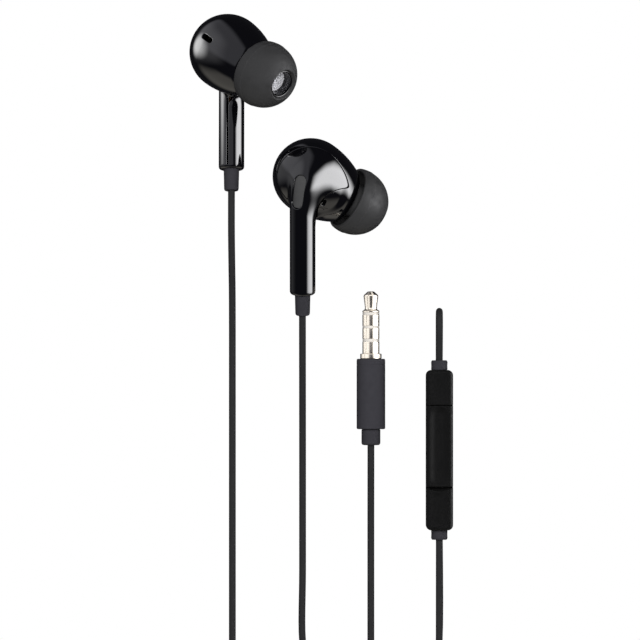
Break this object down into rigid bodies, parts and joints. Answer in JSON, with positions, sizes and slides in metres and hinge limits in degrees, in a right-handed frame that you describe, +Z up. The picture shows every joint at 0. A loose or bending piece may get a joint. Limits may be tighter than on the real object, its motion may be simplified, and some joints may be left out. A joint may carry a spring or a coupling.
{
  "type": "wired earphones",
  "caption": "In-ear earphones with stemmed glossy buds, silicone tips, inline button remote, slim cord with splitter and a four-pole audio plug, laid flat.",
  "frame": {"origin": "on the surface the earphones lie on, under the middle of the buds, remote and their reliefs", "axes": "+Z up from the surface, +Y from the plug towards the buds' heads, +X towards the remote"},
  "size_m": [0.0545, 0.1727, 0.0231],
  "materials": {
    "gloss_shell": "high gloss black",
    "wire_mesh": "fine woven wire",
    "silicone": "soft matte",
    "grille": "woven dust cloth",
    "driver_frame": "moulded",
    "driver_steel": "plated",
    "magnet": "nickel plated",
    "copper": "enamelled copper wire",
    "diaphragm": "thin film",
    "circuit_board": "solder resist",
    "switch_steel": "stamped",
    "microphone": "plated can",
    "relief": "satin",
    "remote_case": "soft matte",
    "plug_metal": "polished, pale warm plating",
    "insulator": "moulded",
    "plug_core": "turned",
    "plug_grip": "fine matte",
    "splitter": "soft matte",
    "cord": "satin",
    "tie": "soft matte"
  },
  "bodies": {
    "root": {"right_outer_shell": "gloss_shell", "right_inner_shell": "gloss_shell", "right_nozzle_mesh": "wire_mesh", "right_vent_grille": "grille", "right_driver_frame": "driver_frame", "right_driver_yoke": "driver_steel", "right_driver_magnet": "magnet", "right_driver_plate": "driver_steel", "right_driver_board": "circuit_board", "right_wires": "copper", "right_strain_relief": "relief", "left_outer_shell": "gloss_shell", "left_inner_shell": "gloss_shell", "left_nozzle_mesh": "wire_mesh", "left_vent_grille": "grille", "left_driver_frame": "driver_frame", "left_driver_yoke": "driver_steel", "left_driver_magnet": "magnet", "left_driver_plate": "driver_steel", "left_driver_board": "circuit_board", "left_wires": "copper", "left_strain_relief": "relief", "remote_base": "remote_case", "remote_board": "circuit_board", "remote_switches": "switch_steel", "remote_microphone": "microphone", "remote_upper_relief": "relief", "remote_lower_relief": "relief", "plug_tip": "plug_metal", "plug_first_ring": "plug_metal", "plug_second_ring": "plug_metal", "plug_sleeve": "plug_metal", "plug_insulators": "insulator", "plug_core": "plug_core", "plug_grip": "plug_grip", "plug_relief": "relief", "splitter_body": "splitter", "splitter_relief": "relief", "left_cord": "cord", "left_cord_end": "cord", "right_upper_cord": "cord", "right_lower_cord": "cord", "trunk_cord": "cord", "trunk_cord_end": "cord", "left_coil": "cord", "trunk_coil": "cord", "left_coil_tie": "tie", "trunk_coil_tie": "tie"},
    "volume_up": {"volume_up_button": "remote_case"},
    "play": {"play_button": "remote_case"},
    "volume_down": {"volume_down_button": "remote_case"},
    "right_tip": {"right_ear_tip": "silicone"},
    "left_tip": {"left_ear_tip": "silicone"},
    "right_cone": {"right_diaphragm": "diaphragm", "right_voice_coil": "copper"},
    "left_cone": {"left_diaphragm": "diaphragm", "left_voice_coil": "copper"}
  },
  "joints": [
    {"name": "volume_up_press", "type": "slide", "parent": "root", "child": "volume_up", "axis": [0, 0, -1], "range_m": [0, 0.00025], "stiffness_N_per_m": 4000},
    {"name": "play_press", "type": "slide", "parent": "root", "child": "play", "axis": [0, 0, -1], "range_m": [0, 0.00025], "stiffness_N_per_m": 4000},
    {"name": "volume_down_press", "type": "slide", "parent": "root", "child": "volume_down", "axis": [0, 0, -1], "range_m": [0, 0.00025], "stiffness_N_per_m": 4000},
    {"name": "right_tip_pull", "type": "slide", "parent": "root", "child": "right_tip", "axis": [0.827, -0.4083, -0.3865], "range_m": [0, 0.0046]},
    {"name": "left_tip_pull", "type": "slide", "parent": "root", "child": "left_tip", "axis": [0.67, -0.3798, 0.6378], "range_m": [0, 0.0046]},
    {"name": "right_cone_stroke", "type": "slide", "parent": "root", "child": "right_cone", "axis": [0.827, -0.4083, -0.3865], "range_m": [-0.00015, 0.00015], "stiffness_N_per_m": 100},
    {"name": "left_cone_stroke", "type": "slide", "parent": "root", "child": "left_cone", "axis": [0.67, -0.3798, 0.6378], "range_m": [-0.00015, 0.00015], "stiffness_N_per_m": 100}
  ]
}
